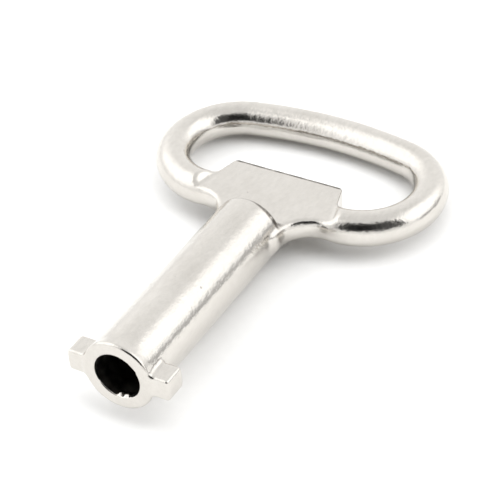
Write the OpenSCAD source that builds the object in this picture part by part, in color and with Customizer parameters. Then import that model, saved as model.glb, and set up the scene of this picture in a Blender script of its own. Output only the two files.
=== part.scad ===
// Double-bit cabinet key: one zinc die casting, nickel plated.
// It lies flat: X across the bow, Y from the bit end to the bow, Z through the thickness.
// The origin is the centre of the bore's mouth, on the barrel's axis.
// Each module is one region of the casting, and neighbours meet face to face.

/* [Barrel] */
// outside diameter of the tubular shank
barrel_d = 10; // [6:0.1:16]
// length from the mouth to the shoulder where the web starts
barrel_l = 34.9; // [20:0.1:60]
// diameter of the blind bore that slides over the lock's centre pin
bore_d = 6.8; // [3:0.1:12]
// depth of the blind bore
bore_depth = 20; // [5:0.5:50]
// bevel round the outside of the mouth
mouth_bevel = 0.5; // [0:0.05:1.5]
// how far the lip round the mouth stands out from the shank
lip = 0.25; // [0:0.05:1]
// length over which the lip runs out into the shank
lip_l = 2; // [0.8:0.1:6]
// bevel round the shoulder end
shoulder_bevel = 0.4; // [0:0.05:1.5]

/* [Bits] */
// distance over the two bits, across the barrel
bit_span = 15.5; // [8:0.1:26]
// thickness of a bit
bit_t = 3.3; // [1:0.1:8]
// length of a bit along the barrel
bit_l = 3.5; // [1:0.1:12]
// how far the bits' front faces stand back from the mouth
bit_setback = 0.2; // [0:0.05:2]

/* [Web] */
// thickness of the flat web between the shoulders
web_t = 3.3; // [1:0.1:5]
// width of the web's far edge
web_w = 17.1; // [8:0.1:40]
// distance of the web's far edge from the mouth
web_y = 46.4; // [30:0.1:80]
// slant of the web's two ends from the key's long axis, in degrees
web_slant = 15.5; // [0:0.5:40]

/* [Bow] */
// diameter of the bow's round rod
rod_d = 5.1; // [2:0.1:10]
// width over the whole bow
bow_w = 44.6; // [20:0.1:90]
// length over the whole key
key_l = 62.4; // [40:0.1:120]
// centreline radius of the slightly bowed far bar
bar_bend = 56; // [20:0.5:200]
// centreline radius of the two end bends
end_bend = 9.2; // [4:0.05:20]
// centreline radius of the necks that turn into the barrel
neck_bend = 6.75; // [3:0.05:20]
// sideways place of the centre of each neck bend
neck_x = 9.7; // [5:0.1:20]

/* [Hidden] */
$fn = 96;
e = 0.01;
barrel_r = barrel_d / 2;
rod_r = rod_d / 2;
web_h = web_t / 2;
bar_y = key_l - rod_r;                                  // centreline of the far bar on the long axis
end_x = bow_w / 2 - rod_r - end_bend;                   // centre of an end bend
bar_half = asin(end_x / (bar_bend - end_bend));         // half of the far bar's arc
end_y = bar_y - bar_bend + (bar_bend - end_bend) * cos(bar_half);
neck_y = end_y - sqrt(pow(end_bend + neck_bend, 2) - pow(end_x - neck_x, 2));
turn = atan2(neck_y - end_y, neck_x - end_x);           // from an end bend's centre to its neck's centre
silver = [0.80, 0.79, 0.77];
bright = [0.86, 0.85, 0.83];
satin = [0.74, 0.73, 0.71];

module both(side) {
    if (side > 0) children();
    else mirror([1, 0, 0]) children();
}

// Everything outside the web's slanted end, on the +X side.
module beyond_end(h = 20) {
    translate([web_w / 2, web_y, -h / 2]) rotate([0, 0, web_slant])
        translate([0, -40, 0]) cube([60, 80, h]);
}

// The 45 degree ramps from the web's flat faces up to the round rod, on the +X side.
module ramps() {
    for (s = [0, 1]) mirror([0, 0, s])
        translate([web_w / 2, web_y, 0]) rotate([0, 0, web_slant])
            translate([0, 40, 0]) rotate([90, 0, 0]) linear_extrude(height = 80)
                polygon([[-1, web_h], [0, web_h], [4, web_h + 4], [-1, web_h + 4]]);
}

// The barrel's outer surface as a solid, which its neighbours are cut back to.
module barrel_outside() {
    rotate([-90, 0, 0]) rotate_extrude()
        polygon([[0, -1], [barrel_r + lip, -1], [barrel_r + lip, mouth_bevel],
                 [barrel_r, lip_l], [barrel_r, barrel_l], [0, barrel_l]]);
}

// A tube with a blind bore, a bevelled mouth with a slight lip, and a bevelled shoulder.
module barrel() {
    color(silver) rotate([-90, 0, 0]) rotate_extrude()
        polygon([[bore_d / 2, 0], [barrel_r + lip - mouth_bevel, 0], [barrel_r + lip, mouth_bevel],
                 [barrel_r, lip_l], [barrel_r, barrel_l - shoulder_bevel], [barrel_r - shoulder_bevel, barrel_l],
                 [0, barrel_l], [0, bore_depth], [bore_d / 2, bore_depth]]);
}

// A lug on the barrel's side whose outer end is an arc about the barrel's axis.
module bit(side) {
    color(satin) both(side) difference() {
        intersection() {
            translate([0, bit_setback, -bit_t / 2]) cube([bit_span, bit_l, bit_t]);
            rotate([-90, 0, 0]) cylinder(d = bit_span, h = bit_setback + bit_l + 1);
        }
        barrel_outside();
    }
}

// The flat plate between the shoulders, as deep as the barrel's shoulder.
module web() {
    color(satin) difference() {
        translate([-30, barrel_l, -web_h]) cube([60, web_y - barrel_l, web_t]);
        for (s = [1, -1]) both(s) {
            beyond_end();
            translate([neck_x, neck_y, -5]) cylinder(r = neck_bend, h = 10);
        }
    }
}

// Half of the round rod, cut flush with the web's faces, turning from the bow into the barrel.
module neck(side) {
    color(bright) both(side) difference() {
        union() {
            translate([neck_x, neck_y, 0]) rotate([0, 0, 180]) mirror([0, 1, 0])
                rotate_extrude(angle = 92 - (turn + 90) + 8) intersection() {
                    translate([neck_bend, 0]) circle(r = rod_r);
                    translate([neck_bend - rod_d, -web_h]) square([rod_d, web_t]);
                }
            intersection() {
                translate([neck_x - neck_bend, neck_y, 0]) sphere(r = rod_r);
                translate([neck_x - neck_bend, neck_y - rod_d, -web_h]) cube([rod_d, rod_d, web_t]);
            }
        }
        beyond_end();
        translate([0, -1, 0]) rotate([-90, 0, 0]) cylinder(r = barrel_r, h = barrel_l + 1);
    }
}

// The round rod of one side of the bow, ramped down to the web's faces.
module bow_end(side) {
    color(silver) both(side) difference() {
        intersection() {
            translate([end_x, end_y, 0]) rotate([0, 0, turn - 12])
                rotate_extrude(angle = 90 - bar_half - turn + 12)
                    translate([end_bend, 0]) circle(r = rod_r);
            beyond_end();
        }
        ramps();
    }
}

// The slightly bowed rod across the far side.
module bow_bar() {
    color(bright) translate([0, bar_y - bar_bend, 0]) rotate([0, 0, 90 - bar_half])
        rotate_extrude(angle = 2 * bar_half) translate([bar_bend, 0]) circle(r = rod_r);
}

barrel();
bit(-1);  // bit_left
bit(1);  // bit_right
web();
neck(-1);  // neck_left
neck(1);  // neck_right
bow_end(-1);  // bow_end_left
bow_end(1);  // bow_end_right
bow_bar();
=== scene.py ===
"""Double-bit cabinet key: one nickel-plated zinc casting, lying on a pale floor.

The casting is described once, as a smooth distance function in millimetres in the CAD frame. Its surface is
meshed, projected onto the function's zero, cut along the CAD's region borders and closed into nine pieces.
"""

import math

import bpy
import mathutils
import numpy as np
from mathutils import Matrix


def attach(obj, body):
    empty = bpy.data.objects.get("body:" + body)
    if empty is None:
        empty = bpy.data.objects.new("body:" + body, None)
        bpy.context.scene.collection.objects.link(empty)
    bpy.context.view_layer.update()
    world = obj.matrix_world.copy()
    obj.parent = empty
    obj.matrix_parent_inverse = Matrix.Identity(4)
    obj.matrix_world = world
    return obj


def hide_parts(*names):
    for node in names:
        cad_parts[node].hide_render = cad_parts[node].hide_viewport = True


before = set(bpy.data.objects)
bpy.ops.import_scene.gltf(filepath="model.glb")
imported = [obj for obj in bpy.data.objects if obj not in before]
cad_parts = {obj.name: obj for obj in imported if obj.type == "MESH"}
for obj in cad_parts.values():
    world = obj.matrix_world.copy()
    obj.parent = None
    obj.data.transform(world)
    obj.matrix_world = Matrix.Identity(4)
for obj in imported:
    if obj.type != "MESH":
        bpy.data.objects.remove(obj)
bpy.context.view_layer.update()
MM = 0.001

# ------------------------------------------------------------------ the casting's dimensions, in millimetres
BARREL_R, BARREL_L, DRAFT = 5.0, 34.9, 0.05
LIP, LIP_L = 0.25, 1.2
BORE_R, BORE_DEPTH = 3.4, 20.0
MOUTH_ROUND, BORE_ROUND, SHOULDER_ROUND = 0.5, 0.18, 0.5
BIT_R, BIT_T, BIT_L, BIT_Y, BIT_ROUND, BIT_FILLET = 7.75, 3.3, 3.5, 0.2, 0.4, 0.6
WEB_H, WEB_W, WEB_Y, WEB_SLANT = 1.65, 8.55, 46.4, math.radians(15.5)
WEB_ROUND, WEB_CORNER, ROD_FILLET, RAMP_ROUND, HEAD_FILLET = 0.35, 0.6, 0.8, 0.5, 0.7
ROD_R, KEY_L, BOW_W, BAR_BEND, END_BEND = 2.55, 62.4, 44.6, 56.0, 9.2
NECK_BEND, NECK_X = 6.75, 9.7
BAR_Y = KEY_L - ROD_R
BAR_C = BAR_Y - BAR_BEND
END_X = BOW_W / 2 - ROD_R - END_BEND
BAR_HALF = math.asin(END_X / (BAR_BEND - END_BEND))
END_Y = BAR_C + (BAR_BEND - END_BEND) * math.cos(BAR_HALF)
NECK_Y = END_Y - math.sqrt((END_BEND + NECK_BEND) ** 2 - (END_X - NECK_X) ** 2)
TURN = math.atan2(NECK_Y - END_Y, NECK_X - END_X)


# ------------------------------------------------------------------ the casting as a distance function
def smax(a, b, k):
    h = np.maximum(k - np.abs(a - b), 0) / k
    return np.maximum(a, b) + h * h * k * 0.25


def smin(a, b, k):
    return -smax(-a, -b, k)


def rounded(a, b, r):
    """The overlap of two solids, with an edge of radius r."""
    return np.minimum(np.maximum(a, b), -r) + np.hypot(np.maximum(a + r, 0), np.maximum(b + r, 0))


def path_dist(x, y):
    """Distance in plan from the bow's centreline: far bar, end bends, neck bends."""
    ax = np.abs(x)
    d1 = np.abs(np.hypot(ax, y - BAR_C) - BAR_BEND)
    in1 = (np.arctan2(ax, y - BAR_C) <= BAR_HALF) & (y > END_Y)
    d2 = np.abs(np.hypot(ax - END_X, y - END_Y) - END_BEND)
    a = np.arctan2(y - END_Y, ax - END_X)
    in2 = (a <= math.pi / 2 - BAR_HALF) & (a >= TURN)
    d3 = np.abs(np.hypot(ax - NECK_X, y - NECK_Y) - NECK_BEND)
    b = np.arctan2(y - NECK_Y, ax - NECK_X)
    in3 = (b >= TURN + math.pi) & (b <= math.pi)
    d = np.full(np.shape(ax), 1e3)
    d = np.where(in1, np.minimum(d, d1), d)
    d = np.where(in2, np.minimum(d, d2), d)
    d = np.where(in3, np.minimum(d, d3), d)
    return np.minimum(d, np.hypot(ax - (NECK_X - NECK_BEND), y - NECK_Y))


def line_out(x, y):
    """Distance in plan beyond the web's slanted end."""
    return (np.abs(x) - WEB_W) * math.cos(WEB_SLANT) + (y - WEB_Y) * math.sin(WEB_SLANT)


def casting(x, y, z):
    ax, az = np.abs(x), np.abs(z)
    rod = np.hypot(path_dist(x, y), z) - ROD_R
    out = line_out(x, y)
    plate = rounded(out, y - WEB_Y, WEB_CORNER)
    in_bend = NECK_BEND - np.hypot(ax - NECK_X, y - NECK_Y)
    plate = np.maximum(plate, np.maximum(in_bend, NECK_Y - y))
    plate = np.maximum(plate, az - 4.0)
    head = smin(rod, plate, ROD_FILLET)
    ramp = (az - WEB_H - out) * 0.70711
    limit = np.minimum(smin(az - WEB_H, ramp, RAMP_ROUND), 52.0 - y)
    head = rounded(head, limit, WEB_ROUND)
    rr = np.hypot(x, z)
    skin = rr - (BARREL_R + DRAFT * np.clip(1 - y / BARREL_L, 0, 1) + LIP * np.exp(-((y / LIP_L) ** 2)))
    tube = rounded(rounded(skin, -y, MOUTH_ROUND), y - BARREL_L, SHOULDER_ROUND)
    lug = rounded(
        rounded(az - BIT_T / 2, rr - BIT_R, BIT_ROUND),
        np.abs(y - BIT_Y - BIT_L / 2) - BIT_L / 2,
        BIT_ROUND,
    )
    body = smin(smin(tube, lug, BIT_FILLET), head, HEAD_FILLET)
    bore = rounded(rr - BORE_R, y - BORE_DEPTH, 0.3)
    return rounded(body, -bore, BORE_ROUND)


# ------------------------------------------------------------------ what casting and polishing leave on the surface
def waves(seed, count, shortest, longest):
    rng = np.random.default_rng(seed)
    way = rng.normal(size=(count, 3))
    way /= np.linalg.norm(way, axis=1)[:, None]
    size = np.exp(rng.uniform(math.log(shortest), math.log(longest), count))
    return way * (2 * math.pi / size)[:, None], rng.uniform(0, 2 * math.pi, count), size / longest


def ripple(w, x, y, z):
    k, phase, amount = w
    total = np.zeros(np.shape(x))
    for i in range(len(k)):
        total += amount[i] * np.sin(k[i, 0] * x + k[i, 1] * y + k[i, 2] * z + phase[i])
    return total / math.sqrt(len(k) / 2)


BROAD = waves(11, 26, 3.5, 9.0)
FINE = waves(12, 40, 0.9, 2.4)
BREAKS = waves(13, 12, 3.0, 9.0)


def burr(x, y, z):
    """Height of the ragged burr left just inside the lower edge of the bore's mouth."""
    rr = np.hypot(x, z)
    s = BORE_R * (np.arctan2(x, -z) - 0.21)
    jag = 0.34 + 0.16 * np.sin(5.1 * s + 0.6) + 0.13 * np.sin(11.3 * s + 2.1) + 0.05 * np.sin(19.0 * s)
    along = np.clip((1.25 - np.abs(s)) / 0.35, 0, 1) * np.clip(jag, 0.05, 1)
    rise = np.clip((y - 0.12) / 0.55, 0, 1) * np.clip((1.25 - y) / 0.3, 0, 1)
    return along * rise * np.clip((4.2 - rr) / 0.4, 0, 1) * np.clip((rr - 2.0) / 0.4, 0, 1)


def surface(x, y, z):
    """The casting with its slight waviness, the parting line left along the mould's joint, and the burr."""
    f = casting(x, y, z) - burr(x, y, z)
    f = f - 0.006 * ripple(BROAD, x, y, z) - 0.0028 * ripple(FINE, x, y, z)
    on_bow = np.clip((y - 36.5) / 2.0, 0, 1) + np.clip((y - 5.0) / 2.0, 0, 1) * 0.35
    line = np.exp(-(((z - 0.05 * ripple(BREAKS, x, y, 0 * z)) / 0.17) ** 2))
    strength = np.clip(0.55 + 0.5 * ripple(BREAKS, y, x, 0 * z), 0, 1)
    rr = np.hypot(x, z)
    outside = np.clip((rr - 4.4) / 0.3, 0, 1)
    return f - 0.034 * line * strength * np.minimum(on_bow, 1) * np.where(y < 35, outside, 1)


def gradient(p, h=0.01):
    x, y, z = p.T
    g = np.stack(
        [
            surface(x + h, y, z) - surface(x - h, y, z),
            surface(x, y + h, z) - surface(x, y - h, z),
            surface(x, y, z + h) - surface(x, y, z - h),
        ],
        1,
    )
    return g / (2 * h)


def project(p, steps=6):
    for _ in range(steps):
        g = gradient(p)
        f = surface(*p.T)
        p = p - np.clip(f / np.maximum((g * g).sum(1), 0.05), -0.15, 0.15)[:, None] * g
    return p


def unit(v):
    return v / np.maximum(np.linalg.norm(v, axis=1), 1e-12)[:, None]


# ------------------------------------------------------------------ meshing
STEP = 0.18


def grid_mesh():
    """Quads over the casting's zero surface, symmetric in z: points, quads and each point's mirror image."""
    nx = int(math.ceil((BOW_W / 2 + 0.8) / STEP)) * 2 + 1
    ny = int(math.ceil((KEY_L + 1.8) / STEP)) + 1
    nz = int(math.ceil((BARREL_R + LIP + 0.7) / STEP)) * 2
    xs = (np.arange(nx) - (nx - 1) / 2) * STEP + STEP * 0.31
    ys = -0.9 + np.arange(ny) * STEP
    zs = (np.arange(nz) - (nz - 1) / 2) * STEP
    half = zs[nz // 2 :]
    f = np.empty((nx, ny, nz), np.float32)
    for i in range(nx):
        x = np.full((ny, len(half)), xs[i])
        y = np.broadcast_to(ys[:, None], x.shape)
        z = np.broadcast_to(half[None, :], x.shape)
        part = casting(x, y, z)
        f[i, :, nz // 2 :] = part
        f[i, :, : nz // 2] = part[:, ::-1]
    s = f < 0
    corners = [(i, j, k) for i in (0, 1) for j in (0, 1) for k in (0, 1)]
    count = np.zeros((nx - 1, ny - 1, nz - 1), np.int8)
    for i, j, k in corners:
        count += s[i : nx - 1 + i, j : ny - 1 + j, k : nz - 1 + k]
    cells = np.argwhere((count > 0) & (count < 8))
    index = np.full(count.shape, -1, np.int64)
    index[tuple(cells.T)] = np.arange(len(cells))
    total, hits = np.zeros((len(cells), 3)), np.zeros(len(cells))
    for a in corners:
        for axis in range(3):
            if a[axis]:
                continue
            b = list(a)
            b[axis] = 1
            fa = f[tuple((cells + a).T)].astype(float)
            fb = f[tuple((cells + b).T)].astype(float)
            cross = (fa < 0) != (fb < 0)
            t = np.where(cross, fa / np.where(cross, fa - fb, 1.0), 0)
            point = cells + np.array(a, float)
            point[:, axis] += t
            total += point * cross[:, None]
            hits += cross
    grid = total / hits[:, None]
    p = np.stack([xs[0] + grid[:, 0] * STEP, ys[0] + grid[:, 1] * STEP, zs[0] + grid[:, 2] * STEP], 1)
    twin = index[cells[:, 0], cells[:, 1], (nz - 2) - cells[:, 2]]
    quads = []
    for axis in range(3):
        lo = [slice(None)] * 3
        hi = [slice(None)] * 3
        lo[axis], hi[axis] = slice(0, -1), slice(1, None)
        change = s[tuple(lo)] != s[tuple(hi)]
        inside_first = s[tuple(lo)]
        at = np.argwhere(change)
        u, v = [(1, 2), (2, 0), (0, 1)][axis]
        keep = (at[:, u] > 0) & (at[:, v] > 0)
        at = at[keep]
        ring = []
        for du, dv in ((-1, -1), (0, -1), (0, 0), (-1, 0)):
            c = at.copy()
            c[:, u] += du
            c[:, v] += dv
            ring.append(index[tuple(c.T)])
        q = np.stack(ring, 1)
        flip = ~inside_first[tuple(at.T)]
        q[flip] = q[flip][:, ::-1]
        quads.append(q)
    quads = np.concatenate(quads)
    edges = np.concatenate([quads[:, [i, (i + 1) % 4]] for i in range(4)])
    for _ in range(3):
        p = relax(p, edges)
        p = 0.5 * (p + p[twin] * (1, 1, -1))
        p = project_plain(p)
    return p, quads, twin


def relax(p, edges):
    total = np.zeros_like(p)
    count = np.bincount(edges[:, 0], minlength=len(p)) + np.bincount(edges[:, 1], minlength=len(p))
    for axis in range(3):
        total[:, axis] = np.bincount(edges[:, 0], p[edges[:, 1], axis], len(p)) + np.bincount(
            edges[:, 1], p[edges[:, 0], axis], len(p)
        )
    return 0.45 * p + 0.55 * total / np.maximum(count, 1)[:, None]


def project_plain(p, h=0.01):
    for _ in range(2):
        x, y, z = p.T
        g = (
            np.stack(
                [
                    casting(x + h, y, z) - casting(x - h, y, z),
                    casting(x, y + h, z) - casting(x, y - h, z),
                    casting(x, y, z + h) - casting(x, y, z - h),
                ],
                1,
            )
            / (2 * h)
        )
        f = casting(x, y, z)
        p = p - np.clip(f / np.maximum((g * g).sum(1), 0.05), -0.15, 0.15)[:, None] * g
    return p


# ------------------------------------------------------------------ cutting along the CAD's borders
CUT_Y, CUT_BIT, CUT_END = 35.15, 5.45, 0.35


def side_name(name, x):
    return name + ("_right" if x > 0 else "_left")


def wall_head(p):
    return p[..., 1] - CUT_Y


def wall_bit(p):
    return np.where(p[..., 1] < 20, np.abs(p[..., 0]) - CUT_BIT, -1.0)


def wall_bar(p):
    x, y = np.abs(p[..., 0]), p[..., 1]
    g = math.sin(BAR_HALF) * (y - BAR_C) - math.cos(BAR_HALF) * x
    return np.where(y > 50, g, -1.0)


def wall_end(p):
    return np.where(p[..., 1] < 52, line_out(p[..., 0], p[..., 1]) - CUT_END, 1.0)


def wall_neck(p):
    return NECK_BEND - np.hypot(np.abs(p[..., 0]) - NECK_X, p[..., 1] - NECK_Y)


TREE = (
    wall_head,
    (wall_bit, "barrel", "bit"),
    (wall_bar, (wall_end, (wall_neck, "web", "neck"), "bow_end"), "bow_bar"),
)
SIDED = ("bit", "neck", "bow_end")


def cut_pieces(p, quads, twin):
    """Shares the quads among the pieces, cutting those that cross a border. Returns all points, twins and each piece's polygons."""
    walls = [wall_head, wall_bit, wall_bar, wall_end, wall_neck]
    values = {w: w(p) for w in walls}
    points, twins = [tuple(v) for v in p], list(map(int, twin))
    made = {}
    pieces = {}

    def value(w, i):
        if i < len(p):
            return float(values[w][i])
        return float(w(np.array(points[i])))

    def between(w, a, b):
        key = (w.__name__, min(a, b), max(a, b))
        if key not in made:
            va, vb = value(w, a), value(w, b)
            t = va / (va - vb)
            pa, pb = np.array(points[a]), np.array(points[b])
            made[key] = len(points)
            points.append(tuple(pa + (pb - pa) * t))
            twins.append(-1)
            ta, tb = twins[a], twins[b]
            if (min(ta, tb), max(ta, tb)) == (min(a, b), max(a, b)):
                twins[made[key]] = made[key]
            else:
                other = (w.__name__, min(ta, tb), max(ta, tb))
                if other not in made:
                    made[other] = len(points)
                    points.append(tuple((pa + (pb - pa) * t) * (1, 1, -1)))
                    twins.append(made[key])
                twins[made[key]] = made[other]
        return made[key]

    def clip(poly, w, keep_positive):
        got = []
        for i, a in enumerate(poly):
            b = poly[(i + 1) % len(poly)]
            ia, ib = value(w, a) >= 0, value(w, b) >= 0
            if ia == keep_positive:
                got.append(a)
            if ia != ib:
                got.append(between(w, a, b))
        return got

    def place(poly, name):
        if name in SIDED:
            name = side_name(name, sum(points[i][0] for i in poly))
        pieces.setdefault(name, []).append(poly)

    def share(poly, node):
        if isinstance(node, str):
            if len(poly) > 2:
                place(poly, node)
            return
        w, low, high = node
        signs = [value(w, i) >= 0 for i in poly]
        if all(signs):
            share(poly, high)
        elif not any(signs):
            share(poly, low)
        else:
            a, b = clip(poly, w, False), clip(poly, w, True)
            if len(a) > 2:
                share(a, low)
            if len(b) > 2:
                share(b, high)

    # whole quads that lie on one side of every border on their way down go in one step
    sign = {w: values[w][quads] >= 0 for w in walls}
    left = np.arange(len(quads))

    def descend(rows, node):
        if isinstance(node, str):
            for q in quads[rows]:
                place([int(i) for i in q], node)
            return
        w, low, high = node
        up = sign[w][rows].all(1)
        down = (~sign[w][rows]).all(1)
        descend(rows[down], low)
        descend(rows[up], high)
        for q in quads[rows[~up & ~down]]:
            share([int(i) for i in q], node)

    descend(left, TREE)
    return np.array(points), np.array(twins), pieces


def border(polys):
    """Edges used once, as start -> end."""
    once = {}
    for poly in polys:
        for i, a in enumerate(poly):
            b = poly[(i + 1) % len(poly)]
            if (b, a) in once:
                del once[(b, a)]
            else:
                once[(a, b)] = True
    return list(once)


def caps(polys, points, twins, upright):
    edges = border(polys)
    if upright:
        made = []
        for a, b in edges:
            if points[a][2] + points[b][2] <= 1e-9:
                continue
            quad = [b, a, int(twins[a]), int(twins[b])]
            made.append([v for i, v in enumerate(quad) if v != quad[i - 1]])
        return [c for c in made if len(c) > 2]
    after = {b: a for a, b in edges}
    made = []
    while after:
        start, now = next(iter(after.items()))
        loop = [start]
        while now != start and now in after:
            loop.append(now)
            now = after.pop(now)
        after.pop(start, None)
        made.append(loop)
    return made


def newell(points):
    q = np.roll(points, -1, 0)
    n = np.array(
        [
            ((points[:, 1] - q[:, 1]) * (points[:, 2] + q[:, 2])).sum(),
            ((points[:, 2] - q[:, 2]) * (points[:, 0] + q[:, 0])).sum(),
            ((points[:, 0] - q[:, 0]) * (points[:, 1] + q[:, 1])).sum(),
        ]
    )
    return n / max(np.linalg.norm(n), 1e-12)


def build(name, polys, closing, points, normals, materials):
    used = sorted({i for poly in polys + closing for i in poly})
    local = {v: i for i, v in enumerate(used)}
    mesh = bpy.data.meshes.new(name)
    faces = [[local[i] for i in poly] for poly in polys + closing]
    mesh.from_pydata((points[used] * MM).tolist(), [], faces)
    mesh.update()
    corner = []
    for poly in polys:
        corner.extend(normals[i] for i in poly)
    for poly in closing:
        n = newell(points[poly])
        corner.extend(n for _ in poly)
    for polygon in mesh.polygons:
        polygon.use_smooth = True
    for m in materials:
        mesh.materials.append(m)
    if len(materials) > 1:
        index = np.zeros(len(faces), np.int32)
        for i, poly in enumerate(polys):
            c = points[poly].mean(0)
            # faces inside the bore, except round the burr, get the bore's painted-shade material
            if math.hypot(c[0], c[2]) < BORE_R + 0.03 and 0.35 < c[1] < BORE_DEPTH + 0.5 and burr(*c) < 0.04:
                index[i] = 1
        mesh.polygons.foreach_set("material_index", index)
    mesh.normals_split_custom_set([tuple(map(float, n)) for n in corner])
    mesh.update()
    ob = bpy.data.objects.new(name, mesh)
    bpy.context.scene.collection.objects.link(ob)
    return ob


# ------------------------------------------------------------------ materials
def noise(tree, vector, scale, detail=2.0, rough=0.5):
    n = tree.nodes.new("ShaderNodeTexNoise")
    n.inputs["Scale"].default_value = scale
    n.inputs["Detail"].default_value = detail
    n.inputs["Roughness"].default_value = rough
    tree.links.new(vector, n.inputs["Vector"])
    return n.outputs["Fac"]


def remap(tree, value, a, b, c, d, smooth=False):
    n = tree.nodes.new("ShaderNodeMapRange")
    n.interpolation_type = "SMOOTHSTEP" if smooth else "LINEAR"
    n.clamp = True
    for socket, v in zip(("From Min", "From Max", "To Min", "To Max"), (a, b, c, d)):
        n.inputs[socket].default_value = v
    tree.links.new(value, n.inputs["Value"])
    return n.outputs["Result"]


def maths(tree, kind, *args):
    n = tree.nodes.new("ShaderNodeMath")
    n.operation = kind
    for i, a in enumerate(args):
        if isinstance(a, (int, float)):
            n.inputs[i].default_value = a
        else:
            tree.links.new(a, n.inputs[i])
    return n.outputs[0]


def stretched(tree, vector, scale):
    n = tree.nodes.new("ShaderNodeMapping")
    n.inputs["Scale"].default_value = scale
    tree.links.new(vector, n.inputs["Vector"])
    return n.outputs["Vector"]


def blend_colour(tree, fac, a, b):
    n = tree.nodes.new("ShaderNodeMix")
    n.data_type = "RGBA"
    for socket, c in ((n.inputs[6], a), (n.inputs[7], b)):
        if isinstance(c, tuple):
            socket.default_value = (*c, 1)
        else:
            tree.links.new(c, socket)
    tree.links.new(fac, n.inputs[0])
    return n.outputs[2]


def nickel_plate():
    m = bpy.data.materials.new("nickel_plate")
    m.use_nodes = True
    t = m.node_tree
    shader = t.nodes["Principled BSDF"]
    place = t.nodes.new("ShaderNodeTexCoord").outputs["Object"]
    shader.inputs["Metallic"].default_value = 1.0
    # the plating's slow drift in tone, and rare small dark pits in the casting under it
    tone = noise(t, place, 140.0, 3.0, 0.55)
    mottle = noise(t, stretched(t, place, (1500.0, 700.0, 1500.0)), 1.0, 4.0, 0.7)
    patchy = maths(t, "ADD", remap(t, tone, 0.3, 0.7, 0.14, 0.5), remap(t, mottle, 0.32, 0.68, 0, 0.36))
    colour = blend_colour(t, patchy, (0.575, 0.548, 0.508), (0.700, 0.674, 0.634))
    cells = t.nodes.new("ShaderNodeTexVoronoi")
    cells.inputs["Scale"].default_value = 420.0
    t.links.new(place, cells.inputs["Vector"])
    gate = remap(t, noise(t, place, 90.0, 1.0), 0.56, 0.62, 0, 1)
    pit = maths(t, "MULTIPLY", remap(t, cells.outputs["Distance"], 0.03, 0.09, 1, 0, True), gate)
    colour = blend_colour(t, maths(t, "MULTIPLY", pit, 0.35), colour, (0.16, 0.145, 0.125))
    # painted shade and painted dark reflection: a dark line along the web's far edge and round the barrel's shoulder,
    # most on the +X side
    axes = t.nodes.new("ShaderNodeSeparateXYZ")
    t.links.new(place, axes.inputs[0])
    px, py, pz = axes.outputs
    wide = maths(t, "ABSOLUTE", px)
    high = maths(t, "ABSOLUTE", pz)
    # where the painted shade lies along the web's far edge
    edge = maths(t, "MULTIPLY", remap(t, py, 0.04575, 0.04598, 0, 1, True), remap(t, py, 0.0475, 0.0478, 1, 0, True))
    edge = maths(t, "MULTIPLY", edge, remap(t, wide, 0.0082, 0.0088, 1, 0, True))
    edge = maths(t, "MULTIPLY", edge, remap(t, high, 0.00125, 0.00155, 0, 1, True))
    radius = maths(t, "SQRT", maths(t, "ADD", maths(t, "MULTIPLY", px, px), maths(t, "MULTIPLY", pz, pz)))
    # where the painted shade lies round the barrel's shoulder, lighter towards -X
    ahead = maths(t, "ADD", py, remap(t, px, 0.0, 0.0040, 0, 0.00055, True))
    rim_shade = maths(t, "MULTIPLY", remap(t, ahead, 0.03435, 0.03475, 0, 1, True), remap(t, py, 0.0352, 0.0356, 1, 0, True))
    rim_shade = maths(t, "MULTIPLY", rim_shade, remap(t, radius, 0.0038, 0.0044, 0, 1, True))
    rim_shade = maths(t, "MULTIPLY", rim_shade, remap(t, px, -0.003, 0.003, 0.35, 1, True))
    rim_shade = maths(t, "MULTIPLY", rim_shade, remap(t, high, 0.0014, 0.0019, 0, 1, True))
    ragged = remap(t, noise(t, place, 1500.0, 2.0), 0.3, 0.55, 0.45, 1.0)
    painted_shade = maths(t, "MULTIPLY", maths(t, "MAXIMUM", edge, rim_shade), ragged)
    # the painted shade's near-black colour, mixed into the base colour along both lines
    colour = blend_colour(t, maths(t, "MULTIPLY", painted_shade, 0.9), colour, (0.085, 0.072, 0.060))
    t.links.new(colour, shader.inputs["Base Color"])
    # gloss: polished, with cloudier patches and fine lengthwise polishing marks
    cloud = noise(t, place, 420.0, 4.0, 0.6)
    marks = noise(t, stretched(t, place, (3200.0, 260.0, 3200.0)), 1.0, 3.0, 0.65)
    rough = maths(t, "ADD", remap(t, cloud, 0.3, 0.7, 0.09, 0.19), remap(t, marks, 0.35, 0.7, 0.0, 0.06))
    rough = maths(t, "ADD", rough, maths(t, "MULTIPLY", pit, 0.2))
    t.links.new(rough, shader.inputs["Roughness"])
    # orange peel of a plated die casting, the marks again, and the pits
    peel = noise(t, place, 2700.0, 2.0, 0.55)
    coarse = noise(t, place, 1150.0, 1.0, 0.5)
    height = maths(t, "ADD", maths(t, "MULTIPLY", peel, 0.62), maths(t, "MULTIPLY", coarse, 0.9))
    height = maths(t, "ADD", height, maths(t, "MULTIPLY", marks, 0.12))
    height = maths(t, "SUBTRACT", height, maths(t, "MULTIPLY", pit, 1.2))
    bump = t.nodes.new("ShaderNodeBump")
    bump.inputs["Strength"].default_value = 0.5
    bump.inputs["Distance"].default_value = 0.000065
    t.links.new(height, bump.inputs["Height"])
    t.links.new(bump.outputs["Normal"], shader.inputs["Normal"])
    return m


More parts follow.
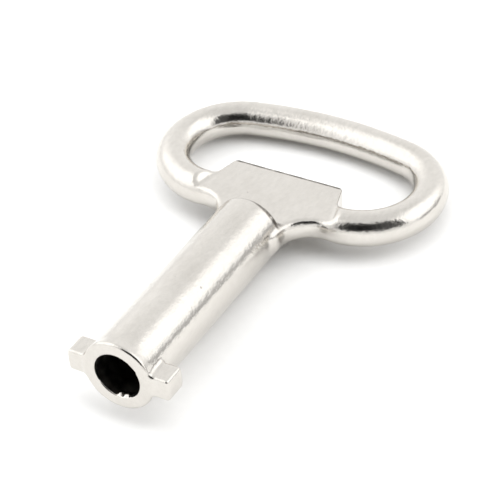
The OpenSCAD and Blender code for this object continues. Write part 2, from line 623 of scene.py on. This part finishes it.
def bore_painted_shade():
    """Inside the blind bore the plating is thin and dull; its dark, blotchy colour is painted shade."""
    m = bpy.data.materials.new("bore_painted_shade")
    m.use_nodes = True
    t = m.node_tree
    shader = t.nodes["Principled BSDF"]
    place = t.nodes.new("ShaderNodeTexCoord").outputs["Object"]
    shader.inputs["Metallic"].default_value = 1.0
    # blotches in the painted shade's dark colour and in the dullness
    painted_shade = noise(t, place, 700.0, 4.0, 0.6)
    colour = blend_colour(t, remap(t, painted_shade, 0.35, 0.65, 0, 1), (0.055, 0.050, 0.045), (0.16, 0.15, 0.135))
    t.links.new(colour, shader.inputs["Base Color"])
    t.links.new(remap(t, painted_shade, 0.3, 0.7, 0.28, 0.5), shader.inputs["Roughness"])
    rings = noise(t, stretched(t, place, (300.0, 4200.0, 300.0)), 1.0, 3.0, 0.6)
    bump = t.nodes.new("ShaderNodeBump")
    bump.inputs["Strength"].default_value = 0.4
    bump.inputs["Distance"].default_value = 0.00003
    t.links.new(rings, bump.inputs["Height"])
    t.links.new(bump.outputs["Normal"], shader.inputs["Normal"])
    return m


def floor_paper():
    m = bpy.data.materials.new("floor_paper")
    m.use_nodes = True
    t = m.node_tree
    shader = t.nodes["Principled BSDF"]
    place = t.nodes.new("ShaderNodeTexCoord").outputs["Object"]
    grain = noise(t, place, 900.0, 3.0)
    colour = blend_colour(t, remap(t, grain, 0.3, 0.7, 0, 1), (0.875, 0.875, 0.87), (0.89, 0.89, 0.885))
    t.links.new(colour, shader.inputs["Base Color"])
    shader.inputs["Roughness"].default_value = 0.9
    shader.inputs["Specular IOR Level"].default_value = 0.1
    return m


# ------------------------------------------------------------------ the object
points, quads, twin = grid_mesh()
points, twins, pieces = cut_pieces(points, quads, twin)
points = project(points)
normals = unit(gradient(points, 0.012))
# the second material paints shade into the bore
nickel, bore = nickel_plate(), bore_painted_shade()
for name in sorted(pieces):
    polys = pieces[name]
    closing = caps(polys, points, twins, name == "web" or name.startswith("neck"))
    ob = build(name + "_skin", polys, closing, points, normals, [nickel, bore] if name == "barrel" else [nickel])
    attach(ob, "root")
    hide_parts(name)

# ------------------------------------------------------------------ floor
# The key stands on the bottom of its barrel's shoulder and on the middle of its far bar, so its mouth is lifted.
# The paper follows that slope under the key and levels off in front of it and behind it.
LEAN = math.radians(5.48)


def paper(y):
    """Height of the paper at y, both in millimetres."""
    slope = math.tan(LEAN)
    at = -8.33 + slope * np.clip(y, -30, 63)
    for edge, run, drop in ((63.0, 55.0, -3.0), (-30.0, -50.0, -1.5)):
        t = np.clip((y - edge) / run, 0, 1)
        at = at + slope * run * (t**3 - 2 * t**2 + t) + drop * (3 * t**2 - 2 * t**3)
    return at


across = np.sign(np.linspace(-1, 1, 41)) * 900.0 * np.abs(np.linspace(-1, 1, 41)) ** 2.2
along = 20.0 + np.sign(np.linspace(-1, 1, 241)) * 900.0 * np.abs(np.linspace(-1, 1, 241)) ** 1.9
verts = [(x * MM, y * MM, float(z) * MM) for y, z in zip(along, paper(along)) for x in across]
n = len(across)
faces = [
    (j * n + i, j * n + i + 1, (j + 1) * n + i + 1, (j + 1) * n + i)
    for j in range(len(along) - 1)
    for i in range(n - 1)
]
mesh = bpy.data.meshes.new("floor")
mesh.from_pydata(verts, [], faces)
for polygon in mesh.polygons:
    polygon.use_smooth = True
mesh.materials.append(floor_paper())
floor = bpy.data.objects.new("floor", mesh)
bpy.context.scene.collection.objects.link(floor)

# ------------------------------------------------------------------ light: a pale studio, two softboxes, a dark side behind the camera
world = bpy.data.worlds.new("studio")
bpy.context.scene.world = world
world.use_nodes = True
t = world.node_tree
back = t.nodes["Background"]
sep = t.nodes.new("ShaderNodeSeparateXYZ")
t.links.new(t.nodes.new("ShaderNodeTexCoord").outputs["Generated"], sep.inputs[0])
DEG = 180 / math.pi
azim = maths(t, "MULTIPLY", maths(t, "ARCTAN2", sep.outputs[0], maths(t, "MULTIPLY", sep.outputs[1], -1.0)), DEG)
elev = maths(t, "MULTIPLY", maths(t, "ARCSINE", sep.outputs[2]), DEG)


def patch(a0, a1, a2, a3, e0, e1, e2, e3):
    """1 inside a patch of sky, fading out from a1 to a0 and so on, in degrees."""
    m = remap(t, azim, a0, a1, 0, 1, True)
    m = maths(t, "MULTIPLY", m, remap(t, azim, a2, a3, 1, 0, True))
    m = maths(t, "MULTIPLY", m, remap(t, elev, e0, e1, 0, 1, True))
    return maths(t, "MULTIPLY", m, remap(t, elev, e2, e3, 1, 0, True))


base = remap(t, elev, 30, 78, 1.20, 0.98, True)
light = base
for mask, level in (
    (patch(-145, -92, -40, -26, 0, 26, 58, 74), 1.80),
    (patch(79, 90, 142, 172, 0, 28, 54, 72), 1.80),
    (patch(92, 106, 138, 150, -14, -4, 7, 15), 0.62),
    (patch(-24, -8, 74, 86, 7, 21, 60, 72), 0.085),
    (patch(-14, -2, 38, 50, 12, 28, 50, 64), 0.012),
):
    keep = maths(t, "MULTIPLY", light, maths(t, "SUBTRACT", 1.0, mask))
    light = maths(t, "ADD", keep, maths(t, "MULTIPLY", mask, level))
grey = t.nodes.new("ShaderNodeCombineColor")
for i in range(3):
    t.links.new(light, grey.inputs[i])
t.links.new(grey.outputs[0], back.inputs["Color"])
back.inputs["Strength"].default_value = 1.0


def lamp(name, spot, size, power, glossy):
    data = bpy.data.lights.new(name, "AREA")
    data.shape, data.size, data.energy = "DISK", size, power
    ob = bpy.data.objects.new(name, data)
    bpy.context.scene.collection.objects.link(ob)
    ob.location = spot
    ob.rotation_mode = "QUATERNION"
    ob.rotation_quaternion = (mathutils.Vector((0, 0.03, 0)) - ob.location).to_track_quat("-Z", "Y")
    ob.visible_glossy = glossy
    return ob


lamp("left_fill", (-0.48, 0.10, 0.56), 0.5, 0.9, False)
lamp("right_fill", (0.44, -0.02, 0.58), 0.5, 1.9, False)
lamp("top_fill", (0.0, 0.02, 0.76), 0.5, 1.1, False)

scene = bpy.context.scene
scene.view_settings.view_transform = "Standard"
scene.view_settings.look = "None"

# ------------------------------------------------------------------ camera
cam_data = bpy.data.cameras.new("camera")
cam_data.sensor_width = 36.0
cam_data.lens = 152.8155
cam_data.clip_start, cam_data.clip_end = 0.01, 20.0
cam = bpy.data.objects.new("camera", cam_data)
scene.collection.objects.link(cam)
right = (0.86906861, 0.49048394, -0.06438365)
up = (-0.25625367, 0.55768096, 0.78950998)
ahead = (-0.4231475, 0.66963979, -0.61035133)
spot = (0.1256041, -0.1644912, 0.1775279)
cam.matrix_world = mathutils.Matrix(
    [
        (right[0], up[0], -ahead[0], spot[0]),
        (right[1], up[1], -ahead[1], spot[1]),
        (right[2], up[2], -ahead[2], spot[2]),
        (0, 0, 0, 1),
    ]
)
scene.camera = cam
